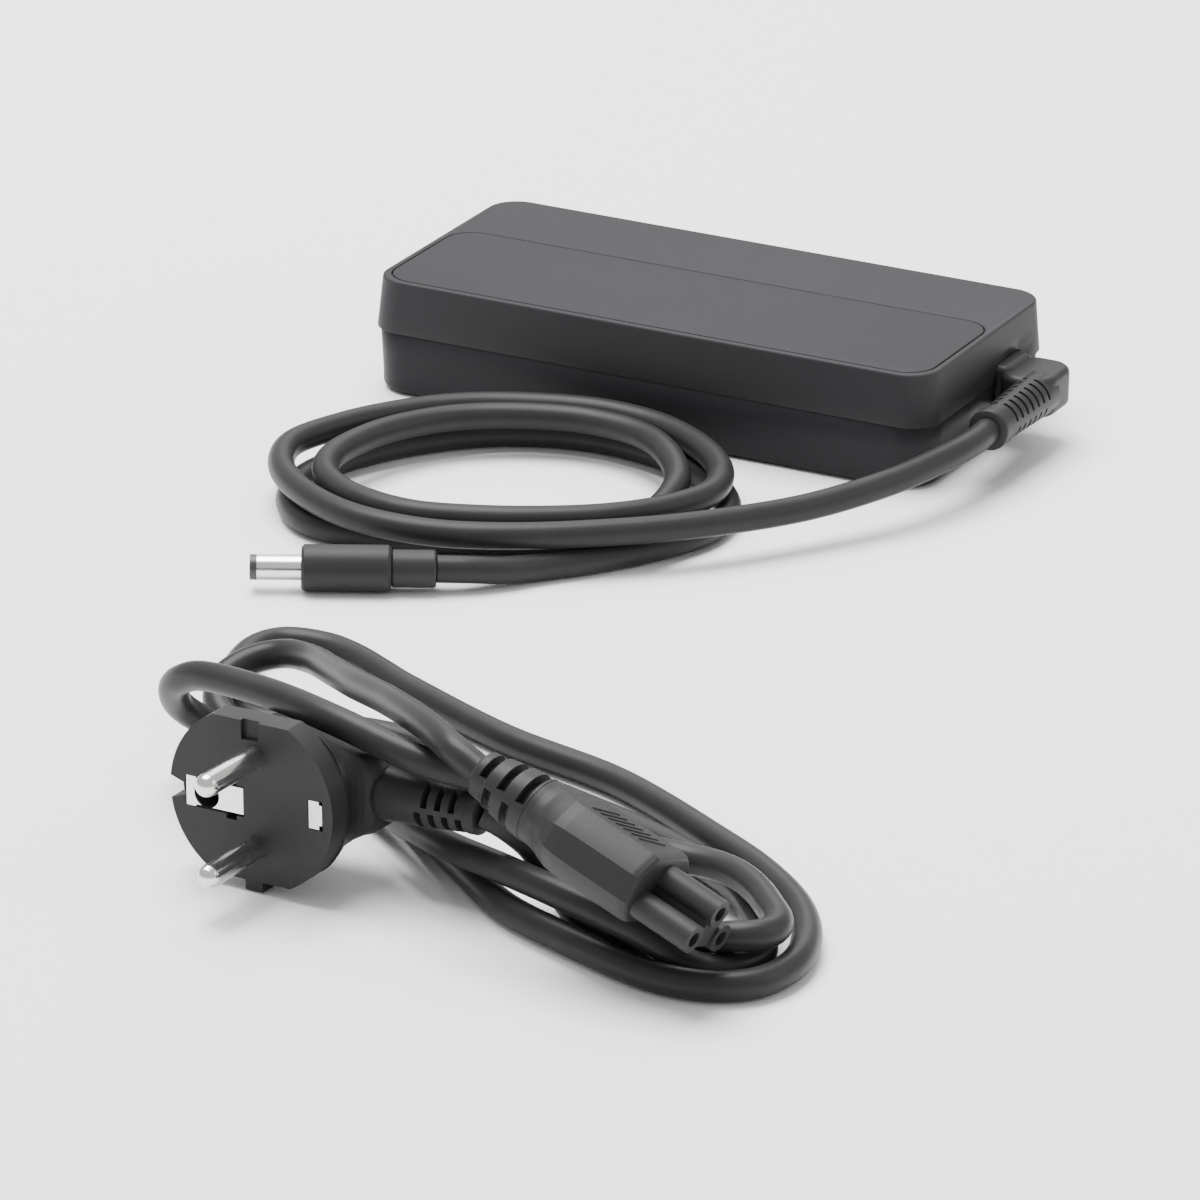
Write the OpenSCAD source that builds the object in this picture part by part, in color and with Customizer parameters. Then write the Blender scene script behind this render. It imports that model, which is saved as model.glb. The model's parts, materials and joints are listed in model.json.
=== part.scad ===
// Laptop power adapter: a closed brick with a captive low-voltage lead and a detachable mains lead.
// Lengths are in millimetres. The origin is on the table, under the centre of the brick.
// +X runs along the brick to its output end, -Y faces the coiled leads and +Z is up.

/* [Brick] */
// Length of the brick, end to end
body_l = 140; // [120:1:160]
// Depth of the brick, front to back
body_w = 67; // [58:1:76]
// Height of the brick
body_h = 27; // [26:0.5:34]
// Height of the seam between the two shells
seam_z = 14.8; // [13:0.1:16]
// Wall thickness of the shells
wall = 2.2; // [1.8:0.1:2.6]
// Corner radius of the upper shell in plan
upper_r = 7.5; // [5:0.5:9]
// Corner radius of the lower shell in plan
lower_r = 9; // [8:0.5:12]

/* [Inlay] */
// Distance of the inlay from the front edge and the ends
inlay_margin = 2.4; // [2:0.1:5]
// Depth of the inlay, front to back
inlay_w = 38.6; // [20:0.2:50]
// Thickness of the inlay
inlay_t = 0.8; // [0.6:0.1:1.2]
// Gap around the inlay
inlay_gap = 0.3; // [0.2:0.05:0.6]

/* [Output lead] */
// Diameter of the output cord
dc_d = 6; // [4:0.1:7]
// Outer diameter of the barrel contact
barrel_d = 5.5; // [4.8:0.1:6.5]
// Bore of the barrel contact
barrel_bore = 2.5; // [1.7:0.1:2.5]
// Length of the barrel contact
barrel_l = 9.5; // [8:0.5:12]
// Diameter of the low-voltage plug body
plug_d = 10.1; // [9:0.1:12]

/* [Mains lead] */
// Diameter of the mains cord
ac_d = 6.1; // [5.5:0.1:7.5]
// Diameter of a mains pin
pin_d = 4.8; // [4:0.1:4.8]
// Length of a mains pin
pin_l = 19; // [18:0.5:19]
// Distance between the two mains pins
pin_pitch = 19; // [18:0.5:20]
// Radius of the mains plug face
face_r = 18.8; // [17:0.1:19.5]
// Distance between the line and neutral sockets of the connector
socket_pitch = 11; // [10:0.5:12]
// Diameter of a socket in the connector
socket_d = 3.1; // [2.5:0.1:3.4]
// Height of the flats above and below the middle of the plug face
face_flat = 16.7; // [15:0.1:18]
// Thickness of the plug face
face_t = 5.5; // [4.5:0.5:8]

/* [Hidden] */
$fn = 48;
half_l = body_l / 2;
half_w = body_w / 2;
in_top = body_h - wall - 0.2;
board_z = 6;
board_t = 1.6;
deck = board_z + board_t;
inlay_y0 = inlay_margin - half_w;
inlay_yc = inlay_y0 + inlay_w / 2;
inlay_l = body_l - 2 * inlay_margin;
post_xy = [[-49, -25], [-49, 25], [57, -25], [57, 25]];
inlet_z = 13.5;
pin_x = 1;
socket_at = [[-socket_pitch / 2, -2.6], [socket_pitch / 2, -2.6], [0, 2.8]];
shade = [0.2, 0.2, 0.21];
soft_black = [0.13, 0.13, 0.14];
steel = [0.8, 0.8, 0.8];

// Output cord: from the elbow down into three flat turns, then out to the plug.
dc_route = [
  [79, -20.9, 13], [78.8, -29, 12.6], [76.5, -40, 12], [70.5, -56, 10.5], [59.5, -74.5, 9],
  [45, -94, 9.1], [30, -108, 9.1], [13, -120, 9.1], [-4, -127, 9.1], [-22, -127, 9.1],
  [-38, -120, 9.1], [-50.6, -108.3, 9.1], [-56.2, -94, 9.1], [-52.5, -79, 9.1], [-45.5, -66, 9.1],
  [-35.5, -54.5, 9.1], [-22, -46.5, 9.1], [-6, -42, 9.1], [10, -44, 9.1], [24, -52, 9.1],
  [34, -63, 9.1], [38, -76, 9.1], [34.5, -88, 9.1], [26, -99, 9.1], [14, -108, 9.1],
  [0, -115, 9.1], [-14, -118.8, 9.1], [-29, -115.8, 9.1], [-39.6, -108, 9.1], [-44.6, -97, 9.1],
  [-44, -84, 9.1], [-40, -72, 9.1], [-32, -61, 9.1], [-20, -53, 9.1], [-6, -48.8, 9.1],
  [8, -50.8, 9.1], [18.5, -58, 8.8], [26.5, -69, 7.7], [28, -80, 5.5], [25, -91, 3.2],
  [17, -101, 3], [6, -109, 3], [-8, -116, 3], [-22, -121, 3], [-36, -121, 3],
  [-46, -113, 3], [-51, -101, 3], [-50.5, -87.5, 3], [-44.5, -71.5, 3], [-34.5, -57.5, 3],
  [-23, -48.8, 3], [-8, -44, 3], [7, -45, 3], [21, -50.5, 3], [32, -59, 3],
  [39.5, -70.5, 3], [40.5, -84, 3], [35.5, -97, 3], [27.5, -109.5, 3], [19, -119.5, 3],
  [13.5, -127, 3.7], [8, -132.5, 4.7], [2.3, -136.3, 5.05]
];

// Mains cord: three long folded turns, the last two crossing over the mains plug.
ac_route = [
  [89.2, -281.8, 20.3], [93, -280.5, 18.4], [97, -277, 13.5], [101, -276, 8], [106, -279, 4.6],
  [113, -283.8, 3.1], [122, -287.2, 3.1], [131, -288.4, 3.3], [137, -288.3, 4.8], [141.6, -288.6, 7.4],
  [146.5, -289.5, 9.4], [150.8, -287.4, 9.7], [152.4, -283, 9.5], [151, -278.2, 9.4], [147, -273.3, 9.4],
  [141.8, -267.6, 9.4], [135.4, -262.4, 9.3], [128.5, -258.9, 8.8], [121.5, -257.6, 8.3], [115, -258.5, 8.8],
  [108.8, -261.2, 11], [103, -266.3, 15], [97.5, -273, 21], [92, -279.5, 26], [76, -284, 29.7],
  [57, -280.5, 32.3], [38, -273, 31.8], [19, -266, 29.5], [11, -262.5, 26], [7, -258.5, 21.5],
  [5.5, -253, 16], [8, -247.5, 11], [14, -243.5, 6.8], [23, -242, 4], [33, -244.5, 3.1],
  [44, -250.5, 3.6], [54, -257.7, 5], [63, -265, 6.7], [79, -276.5, 9.2], [95, -282.5, 9.6],
  [113, -288.8, 9.3], [131, -294.4, 8], [138.3, -294.9, 4.9], [143.4, -293, 3.2], [147.3, -289, 3.1],
  [149.2, -282.5, 3.1], [146.3, -275, 3.1], [141, -266.5, 3.1], [128, -252.5, 3.1], [107, -241, 3.1],
  [82, -232, 3.1], [67, -228, 3.1], [52, -224, 3.1], [40, -220, 3.1], [29, -220, 3.1],
  [19, -223.5, 3.1], [11, -225, 3.1], [4, -223, 3.1], [-2.5, -216.5, 3.1], [-7.5, -208, 3.1],
  [-11, -198, 3.1], [-11.5, -189.5, 3.1], [-8, -183.8, 3.1], [0.6, -182.4, 3.1], [9.4, -185.2, 3.1],
  [18, -190, 3.1], [28, -195.6, 3.1], [57, -209.3, 3.1], [88, -218.9, 3.1], [119, -236.5, 3.1],
  [134, -246.6, 3.1], [146, -258, 3.1], [153.5, -270.2, 3.1], [156.6, -282.3, 3.1], [154.8, -292.8, 3.1],
  [149, -298.5, 3.1], [141, -300.8, 3.1], [130.5, -299.5, 3.1], [112.5, -292.6, 3.1], [95, -284.5, 3.1],
  [78, -270.5, 3.1], [51, -247, 3.1], [40, -240, 3.1], [29, -236, 3.1], [18, -235, 3.3],
  [8, -234, 4.8], [1, -229.5, 7.2], [-1.5, -222.5, 9.8], [1.5, -216, 12], [8, -213.5, 13.8],
  [17, -218.5, 16], [28, -230.5, 20], [41, -245, 24.8], [55, -259, 29.5], [68, -272.5, 33.5],
  [79, -283.5, 36], [87, -290.5, 36.4], [94.5, -293, 34]
];

function unit(v) = v / norm(v);

// Rounded rectangle as a ring of points, counter-clockwise seen from +Z; soft 1 is round, 0 is chamfered.
function ring(w, d, r, z, n = 6, soft = 1) = [
  for (q = [0:3], k = [0:n])
    let (a = 90 * q + 90 * k / n)
    let (c = [cos(90 * q), sin(90 * q)])
    let (e = [cos(90 * q + 90), sin(90 * q + 90)])
    let (flat = c * (1 - k / n) + e * (k / n))
    let (p = [cos(a), sin(a)] * soft + flat * (1 - soft))
    let (sx = q == 0 || q == 3 ? 1 : -1)
    let (sy = q < 2 ? 1 : -1)
    [sx * (w / 2 - r) + r * p.x, sy * (d / 2 - r) + r * p.y, z]
];

// A ring shifted sideways.
function shifted(points, x, y) = [for (p = points) [p.x + x, p.y + y, p.z]];

// Triangles that join rings of n points, with a lid on each end.
function skin(rings, n) = concat(
  [[for (j = [0:n - 1]) j]],
  [for (i = [0:rings - 2], j = [0:n - 1])
    [i * n + j, (i + 1) * n + j, (i + 1) * n + (j + 1) % n]],
  [for (i = [0:rings - 2], j = [0:n - 1])
    [i * n + j, (i + 1) * n + (j + 1) % n, i * n + (j + 1) % n]],
  [[for (j = [n - 1:-1:0]) (rings - 1) * n + j]]
);

// Solid through a list of rings.
module loft(rings) {
  polyhedron(points = [for (r = rings, p = r) p], faces = skin(len(rings), len(rings[0])));
}

// Round cord through the points of a route.
module tube(route, d, sides = 10) {
  last = len(route) - 1;
  rings = [
    for (i = [0:last])
      let (t = unit(route[min(i + 1, last)] - route[max(i - 1, 0)]))
      let (s = unit(cross([0, 0, 1], t)))
      let (u = cross(t, s))
      [for (j = [0:sides - 1])
        let (a = 360 * j / sides)
        route[i] + d / 2 * (cos(a) * s + sin(a) * u)]
  ];
  loft(rings);
}

// Box from its lowest corner to its highest corner.
module block(low, high) {
  translate(low)
    cube(high - low);
}

// Rod from point to point along X.
module rod_x(x0, x1, y, z, d) {
  translate([x0, y, z])
    rotate([0, 90, 0])
      cylinder(h = x1 - x0, d = d);
}

// Flat rounded plate centred in X.
module plate(w, d, r, z0, z1, y) {
  translate([0, y, z0])
    linear_extrude(z1 - z0)
      polygon([for (p = ring(w, d, r, 0)) [p.x, p.y]]);
}

// Half rings of slots cut into a round strain relief along +X.
module slots(x0, pitch, count, width, r, core, low, high) {
  for (i = [0:count - 1])
    translate([x0 + i * pitch, 0, 0])
      difference() {
        translate([-width / 2, -2 * r, low])
          cube([width, 4 * r, high - low]);
        translate([-width, -2 * r, -core])
          cube([2 * width, 4 * r, 2 * core]);
        translate([-width, -core / 3, -2 * r])
          cube([2 * width, core / 1.5, 4 * r]);
      }
}

// Space that the inlet takes in both shells.
module inlet_space() {
  block([-half_l - 1, -11, 5], [-half_l + wall + 3, 11, 22]);
}

// Space that the elbow's neck takes in both shells.
module neck_space() {
  block([half_l - wall - 3, 3.9, 9.5], [half_l + 1, 17.1, 18.8]);
}

module upper_shell() {
  color(shade)
    difference() {
      loft([
        ring(body_l, body_w, upper_r, seam_z),
        ring(body_l - 1.6, body_w - 1.6, upper_r, body_h - 0.7),
        ring(body_l - 2, body_w - 2, upper_r, body_h - 0.2),
        ring(body_l - 2.8, body_w - 2.8, upper_r - 0.4, body_h)
      ]);
      loft([
        ring(body_l - 2 * wall, body_w - 2 * wall, upper_r - 1.5, seam_z - 1),
        ring(body_l - 2 * wall - 2.2, body_w - 2 * wall - 2.2, upper_r - 1.5, in_top)
      ]);
      plate(body_l - 2 * wall + 1.6, body_w - 2 * wall + 1.6, upper_r - 1.5, seam_z - 1, seam_z + 1.4, 0);
      plate(inlay_l, inlay_w, upper_r - 0.5, body_h - inlay_t, body_h + 1, inlay_yc);
      inlet_space();
      neck_space();
    }
}

module lower_shell() {
  color(shade)
    difference() {
      union() {
        difference() {
          loft([
            ring(body_l - 4.8, body_w - 4.8, lower_r - 1.4, 0),
            ring(body_l - 2.4, body_w - 2.4, lower_r - 0.6, 0.7),
            ring(body_l - 1.6, body_w - 1.6, lower_r - 0.2, 2.2),
            ring(body_l - 0.4, body_w - 0.4, lower_r, seam_z)
          ]);
          loft([
            ring(body_l - 2 * wall - 2.4, body_w - 2 * wall - 2.4, lower_r - 2, wall),
            ring(body_l - 2 * wall - 0.8, body_w - 2 * wall - 0.8, lower_r - 2, seam_z + 1)
          ]);
          block([-45.4, -22.4, -1], [45.4, 22.4, 0.6]);
        }
        tongue();
        for (p = post_xy)
          translate([p.x, p.y, wall - 0.1])
            cylinder(h = board_z - wall + 0.1, d = 5);
      }
      inlet_space();
      neck_space();
    }
}

// Rim of the lower shell that stands inside the upper shell.
module tongue() {
  difference() {
    plate(body_l - 2 * wall + 1.4, body_w - 2 * wall + 1.4, upper_r - 1.5, seam_z - 2.4, seam_z + 1.2, 0);
    plate(body_l - 2 * wall - 0.9, body_w - 2 * wall - 0.9, upper_r - 2.5, seam_z - 3, seam_z + 2, 0);
  }
}

module top_inlay() {
  color([0.24, 0.24, 0.25])
    plate(inlay_l - 2 * inlay_gap, inlay_w - 2 * inlay_gap, upper_r - 0.5 - inlay_gap,
      body_h - inlay_t, body_h, inlay_yc);
}

module rating_label() {
  color([0.3, 0.3, 0.3])
    block([-45, -22, 0.25], [45, 22, 0.6]);
}

// A thin sheet on the floor of the lower shell, holed for the board posts.
module floor_sheet(z0, z1, hole_d) {
  difference() {
    plate(118, 58, 3, z0, z1, 0);
    for (p = post_xy)
      translate([p.x, p.y, z0 - 1])
        cylinder(h = 3, d = hole_d);
  }
}

module heat_spreader_lower() {
  color([0.75, 0.75, 0.76])
    floor_sheet(wall, wall + 0.8, 6.4);
}

module insulation_sheet() {
  color([0.9, 0.85, 0.6])
    floor_sheet(wall + 0.8, wall + 1.2, 6);
}

module circuit_board() {
  color([0.1, 0.35, 0.2])
    block([-52, -28, board_z], [60, 28, deck]);
}

// Outline of the three-lobed inlet cavity, as seen from its mouth.
module inlet_outline() {
  hull() {
    translate([-5.5, 0])
      circle(r = 3.3);
    translate([5.5, 0])
      circle(r = 3.3);
    translate([0, 5])
      circle(r = 3.3);
  }
}

module inlet_housing() {
  color(soft_black)
    difference() {
      block([-half_l + 1, -11, 5], [-53, 11, 22]);
      translate([-half_l, 0, inlet_z - 2])
        rotate([90, 0, 90])
          linear_extrude(13.5)
            inlet_outline();
      for (p = [[-5.5, -2], [5.5, -2], [0, 3]])
        rod_x(-60, -50, p.x, inlet_z + p.y, 2);
    }
}

module inlet_pins() {
  color(steel)
    for (p = [[-5.5, -2], [5.5, -2], [0, 3]]) {
      rod_x(-65, -49, p.x, inlet_z + p.y, 2);
      block([-51, p.x - 0.6, deck], [-49.8, p.x + 0.6, inlet_z + p.y]);
    }
}

module fuse() {
  color([0.85, 0.83, 0.75]) {
    rod_x(-48, -36, -23, deck + 2.6, 4.6);
    rod_x(-50, -48, -23, deck + 2.6, 5.2);
    rod_x(-36, -34, -23, deck + 2.6, 5.2);
  }
}

module x_capacitor() {
  color([0.75, 0.6, 0.15])
    block([-46, -17, deck], [-38, 0, deck + 13]);
}

module y_capacitors() {
  color([0.15, 0.35, 0.7])
    for (x = [-31, -26])
      translate([x, -21, deck + 4])
        rotate([0, 90, 0])
          cylinder(h = 3, d = 8);
}

// Upright wound ring standing on the board.
module toroid(x, y, outer, inner, h) {
  translate([x, y, deck])
    difference() {
      cylinder(h = h, d = outer);
      translate([0, 0, -1])
        cylinder(h = h + 2, d = inner);
    }
}

module input_choke() {
  color([0.6, 0.3, 0.12])
    toroid(-38, 14, 19, 8, 11);
}

module boost_choke() {
  color([0.65, 0.33, 0.14])
    toroid(-13, 17, 18, 7, 14);
}

module output_choke() {
  color([0.7, 0.36, 0.15])
    toroid(47, 8, 11, 4, 9);
}

module bridge_rectifier() {
  color(soft_black)
    block([-27.5, 7, deck], [-24, 24, deck + 14]);
}

module bulk_capacitor() {
  color([0.12, 0.12, 0.25])
    rod_x(-22, 8, -14, deck + 7.4, 14.8);
}

module primary_heatsink() {
  color([0.78, 0.78, 0.8])
    block([-22, 1, deck], [10, 3, deck + 14]);
}

module power_transistors() {
  color(soft_black)
    for (x = [-20, 0])
      block([x, 3, deck], [x + 9, 6.5, deck + 12]);
}

module transformer_core() {
  color([0.3, 0.3, 0.33])
    difference() {
      block([13, -10, deck], [37, 12, deck + 14.5]);
      block([16, -11, deck + 3.2], [21, 13, deck + 11.3]);
      block([29, -11, deck + 3.2], [34, 13, deck + 11.3]);
    }
}

module transformer_winding() {
  color([0.85, 0.75, 0.25])
    difference() {
      block([16.2, -14, deck + 3.4], [33.8, 16, deck + 11.1]);
      block([20.9, -10.1, deck], [29.1, 12.1, deck + 14]);
    }
}

module secondary_heatsink() {
  color([0.78, 0.78, 0.8])
    block([36, 22, deck], [58, 24, deck + 14]);
}

module output_rectifiers() {
  color(soft_black)
    for (x = [37, 48])
      block([x, 18.5, deck], [x + 9, 22, deck + 12]);
}

module output_capacitors() {
  color([0.15, 0.25, 0.2])
    for (y = [-22, -13, -4])
      translate([46, y, deck])
        cylinder(h = 14, d = 8);
}

module control_chips() {
  color(soft_black) {
    block([18, -25, deck], [24, -20, deck + 1.4]);
    block([28, -25, deck], [33, -20, deck + 1.4]);
    block([-2, 20, deck], [6, 25, deck + 1.6]);
  }
}

module thermal_pads() {
  color([0.75, 0.75, 0.85]) {
    block([14, -9, deck + 14.5], [36, 11, in_top - 0.8]);
    block([-20, 0.5, deck + 14], [8, 3.5, in_top - 0.8]);
    block([38, 21.5, deck + 14], [56, 24.5, in_top - 0.8]);
  }
}

module heat_spreader_upper() {
  color([0.75, 0.75, 0.76])
    plate(120, 52, 3, in_top - 0.8, in_top, 0);
}

module output_wires() {
  color([0.7, 0.1, 0.1])
    for (y = [8, 13]) {
      rod_x(56, 65, y, 13, 2.4);
      block([56, y - 1, deck], [58, y + 1, 13]);
    }
}

module dc_elbow() {
  color(soft_black)
    difference() {
      union() {
        block([half_l - wall - 2.8, 4, 9.6], [half_l + 3, 17, 18.7]);
        translate([76.8, 9.8, 0])
          loft([
            ring(11.4, 14.4, 4, 8.4),
            ring(13.2, 16.2, 5, 9.4),
            ring(13.2, 16.2, 5, 16.6),
            ring(12, 15, 4.6, 17.4),
            ring(10.8, 13.8, 4, 17.7)
          ]);
        translate([79, 8, 13])
          rotate([90, 0, 0])
            cylinder(h = 27.6, d1 = 10, d2 = 8.6);
        translate([79, -17.4, 13])
          rotate([90, 0, 0])
            cylinder(h = 3.5, d = 9.6);
      }
      translate([79, 0, 13])
        rotate([0, 0, -90]) {
          slots(1.6, 2.6, 6, 0.8, 6, 3.4, 1.6, 8);
          slots(2.9, 2.6, 6, 0.8, 6, 3.4, -8, -1.6);
        }
      translate([76.6, 10.5, 17.5])
        rotate([0, 0, 32])
          cube([5, 0.6, 1], center = true);
      rod_x(60, 65, 8, 13, 2.4);
      rod_x(60, 65, 13, 13, 2.4);
    }
}

module dc_cord() {
  color(soft_black)
    tube(dc_route, dc_d);
}

// Frame of the low-voltage plug: +X runs from the cord to the tip.
module at_dc_plug() {
  translate([2.3, -136.3, 5.05])
    rotate([0, 0, 207.5])
      children();
}

// Round piece of the plug, with chamfered ends.
module plug_barrel(x0, x1, d, bevel) {
  translate([x0, 0, 0])
    rotate([0, 90, 0]) {
      cylinder(h = bevel, d1 = d - 2 * bevel, d2 = d);
      translate([0, 0, bevel])
        cylinder(h = x1 - x0 - 2 * bevel, d = d);
      translate([0, 0, x1 - x0 - bevel])
        cylinder(h = bevel, d1 = d, d2 = d - 2 * bevel);
    }
}

module dc_plug_sleeve() {
  color(soft_black)
    at_dc_plug()
      plug_barrel(0, 9.6, plug_d - 1.9, 0.4);
}

module dc_plug_body() {
  color(soft_black)
    at_dc_plug()
      plug_barrel(9.6, 28.8, plug_d, 0.6);
}

module barrel_contact() {
  color(steel)
    at_dc_plug()
      difference() {
        rod_x(28.8, 28.8 + barrel_l, 0, 0, barrel_d);
        rod_x(29.8, 40, 0, 0, barrel_d - 1);
      }
}

module barrel_tip_ring() {
  color(soft_black)
    at_dc_plug()
      difference() {
        union() {
          rod_x(29.8, 29 + barrel_l, 0, 0, barrel_d - 1);
          rod_x(28.8 + barrel_l, 30.3 + barrel_l, 0, 0, barrel_d);
        }
        rod_x(29.8, 32 + barrel_l, 0, 0, barrel_bore + 0.8);
      }
}

module centre_contact() {
  color([0.85, 0.7, 0.3])
    at_dc_plug()
      difference() {
        rod_x(29.8, 30 + barrel_l, 0, 0, barrel_bore + 0.8);
        rod_x(31, 32 + barrel_l, 0, 0, barrel_bore);
      }
}

// Frame of the mains plug: the pins run along -Y from the face, one above the other.
module at_mains_plug() {
  translate([45.6, -296.1, 19.1])
    rotate([0, -1.4, -4.1])
      children();
}

// Disc along Y, from y0 to y1.
module disc(y0, y1, r) {
  translate([0, y1, 0])
    rotate([90, 0, 0])
      cylinder(h = y1 - y0, r = r);
}

// Wedge-shaped notch in the left edge of the plug, for a socket's earth spring.
module earth_notch() {
  translate([0, 4.5, 0])
    rotate([90, 0, 0])
      linear_extrude(6)
        polygon([[-20, -3.2], [-15, -1.5], [-15, 0.7], [-20, 2.4]]);
}

module mains_plug_face() {
  color(soft_black)
    at_mains_plug()
      difference() {
        union() {
          intersection() {
            disc(0, face_t, face_r);
            block([-20, -1, -face_flat], [20, 10, face_flat]);
          }
          block([-2, 0.5, -face_flat - 2.3], [2, face_t, -face_flat + 2]);
        }
        block([-2, -1, face_flat - 4], [2, 1, face_flat + 1]);
        earth_notch();
        block([-15.3, -1, -3.7], [-1.7, 0.6, 2.7]);
        block([-5.8, -1, -4.7], [-3.4, 2.5, 3.7]);
        block([13.1, -1, -3], [16.5, 2.5, 3.2]);
        translate([-10.4, 8, -0.6])
          rotate([90, 0, 0])
            cylinder(h = 9, d = 6.2);
      }
}

module mains_plug_back() {
  color(soft_black)
    at_mains_plug()
      translate([0, face_t, 0])
        rotate([-90, 0, 0])
          loft([
            ring(36.4, 2 * face_flat - 0.6, 13, 0),
            ring(35.4, 27, 11, 3.5),
            shifted(ring(34.4, 21, 7, 5.5), 1.2, 0),
            shifted(ring(34, 17.2, 4.4, 7.5), 3, 0),
            shifted(ring(34, 17, 4, 9.5), 4, 0),
            shifted(ring(34, 17, 4, 19.5), 4, 0),
            shifted(ring(31, 14, 3.5, 21), 4, 0)
          ]);
}

module mains_pins() {
  color(steel)
    at_mains_plug()
      for (s = [-1, 1])
        translate([pin_x, 0, s * pin_pitch / 2]) {
          disc(2.4 - pin_l, 0, pin_d / 2);
          translate([0, 2.4 - pin_l, 0])
            sphere(d = pin_d);
        }
}

module earth_clips() {
  color(steel)
    at_mains_plug() {
      difference() {
        union() {
          block([-15.1, 0.1, -3.2], [-1.9, 0.6, 2.3]);
          block([-15.1, 0.1, -3.6], [-12.9, 0.6, 2.6]);
        }
        translate([-10.4, 8, -0.6])
          rotate([90, 0, 0])
            cylinder(h = 9, d = 5.8);
      }
      block([13.3, 0.1, -2.8], [15.6, 2.4, 3]);
      block([15.5, 0.1, -1.9], [16.3, 2.4, 2.3]);
    }
}

module mains_tail() {
  color(soft_black)
    at_mains_plug()
      translate([21, 17.5, 0])
        difference() {
          union() {
            rotate([0, 90, 0])
              cylinder(h = 19.5, d1 = 11.2, d2 = 8.6);
            rod_x(18.5, 21.5, 0, 0, 8.8);
          }
          slots(9, 3, 4, 1.3, 7, 3.1, -8, -1);
          slots(10.5, 3, 3, 1.3, 7, 3.1, 1, 8);
        }
}

module mains_cord() {
  color(soft_black)
    tube(ac_route, ac_d);
}

// Frame of the appliance connector: +X runs from the cord to the nose, +Z to the earth lobe.
module at_connector() {
  translate([94.5, -293, 34])
    rotate([-20, 17.4, -9.7])
      children();
}

// Connector rings stand across +X.
module across() {
  at_connector()
    rotate([90, 0, 90])
      children();
}

module connector_boot() {
  color(soft_black)
    at_connector()
      difference() {
        union() {
          rotate([0, 90, 0])
            cylinder(h = 4, d1 = 9, d2 = 10.4);
          translate([4, 0, 0])
            rotate([0, 90, 0])
              cylinder(h = 10.5, d1 = 10.4, d2 = 13.4);
        }
        slots(2.9, 5, 3, 1.9, 8, 3.4, 1.2, 9);
        slots(5.4, 5, 2, 1.9, 8, 3.4, -9, -1.2);
      }
}

module connector_body() {
  color(soft_black)
    difference() {
      across()
        loft([
          ring(13.6, 13.6, 6.8, 14.5, 4),
          ring(14.6, 13.6, 6.2, 17, 4, 0.7),
          ring(18.4, 14.2, 5, 21, 4, 0.35),
          ring(20.8, 14.5, 4.5, 24.5, 4, 0.2),
          ring(21, 14.5, 4.5, 42.8, 4, 0.2),
          ring(19.6, 13.4, 4, 44.3, 4, 0.2)
        ]);
      at_connector()
        for (i = [0:6])
          translate([26 + 2 * i, 0, 7.4])
            rotate([0, 0, 20])
              cube([0.7, 6.6, 0.9], center = true);
    }
}

module connector_nose() {
  color(soft_black)
    at_connector()
      difference() {
        union() {
          for (p = socket_at)
            rod_x(44.3, 57.8, p.x, p.y, 5.8);
          block([44.3, -socket_pitch / 2, -4.6], [57.2, socket_pitch / 2, -0.4]);
          block([44.3, -2.2, -3], [57.2, 2.2, 2.8]);
        }
        for (p = socket_at)
          rod_x(46, 60, p.x, p.y, socket_d);
      }
}

module connector_contacts() {
  color(steel)
    at_connector()
      for (p = socket_at)
        difference() {
          rod_x(46, 51, p.x, p.y, socket_d);
          rod_x(47, 52, p.x, p.y, socket_d - 0.6);
        }
}

upper_shell();
lower_shell();
top_inlay();
rating_label();
heat_spreader_lower();
insulation_sheet();
circuit_board();
inlet_housing();
inlet_pins();
fuse();
x_capacitor();
y_capacitors();
input_choke();
bridge_rectifier();
boost_choke();
bulk_capacitor();
primary_heatsink();
power_transistors();
transformer_core();
transformer_winding();
secondary_heatsink();
output_rectifiers();
output_capacitors();
output_choke();
control_chips();
thermal_pads();
heat_spreader_upper();
output_wires();
dc_elbow();
dc_cord();
dc_plug_sleeve();
dc_plug_body();
barrel_contact();
barrel_tip_ring();
centre_contact();
mains_plug_face();
mains_plug_back();
mains_pins();
earth_clips();
mains_tail();
mains_cord();
connector_boot();
connector_body();
connector_nose();
connector_contacts();
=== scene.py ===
import math

import bpy
import numpy as np
from mathutils import Matrix, Vector
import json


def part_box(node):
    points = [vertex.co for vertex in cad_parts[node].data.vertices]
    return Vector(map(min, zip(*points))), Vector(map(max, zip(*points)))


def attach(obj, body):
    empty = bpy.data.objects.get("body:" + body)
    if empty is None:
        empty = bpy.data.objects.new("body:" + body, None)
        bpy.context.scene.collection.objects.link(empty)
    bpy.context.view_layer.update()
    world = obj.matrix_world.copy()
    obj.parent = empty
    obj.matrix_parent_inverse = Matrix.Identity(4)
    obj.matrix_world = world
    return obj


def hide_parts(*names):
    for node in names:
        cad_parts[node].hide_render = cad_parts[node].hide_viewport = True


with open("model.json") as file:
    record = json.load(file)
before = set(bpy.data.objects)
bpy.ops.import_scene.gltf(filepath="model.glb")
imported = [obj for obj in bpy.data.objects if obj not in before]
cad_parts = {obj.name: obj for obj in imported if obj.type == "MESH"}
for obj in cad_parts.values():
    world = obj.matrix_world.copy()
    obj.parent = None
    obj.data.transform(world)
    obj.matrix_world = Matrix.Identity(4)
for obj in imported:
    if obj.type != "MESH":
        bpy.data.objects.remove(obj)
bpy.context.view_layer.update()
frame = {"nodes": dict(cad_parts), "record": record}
record = frame["record"]
mm = 0.001
print("frame loaded")

# a long lens from the front right, a little above, turned by about one degree
shot = {
    "azimuth": 26.37, "elevation": 21.5, "roll": 0.993, "distance": 1.8854,
    "aside": 0.02423, "above": 0.04606, "lens": 248.6, "sensor": 36, "sees": 20,
}


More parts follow.
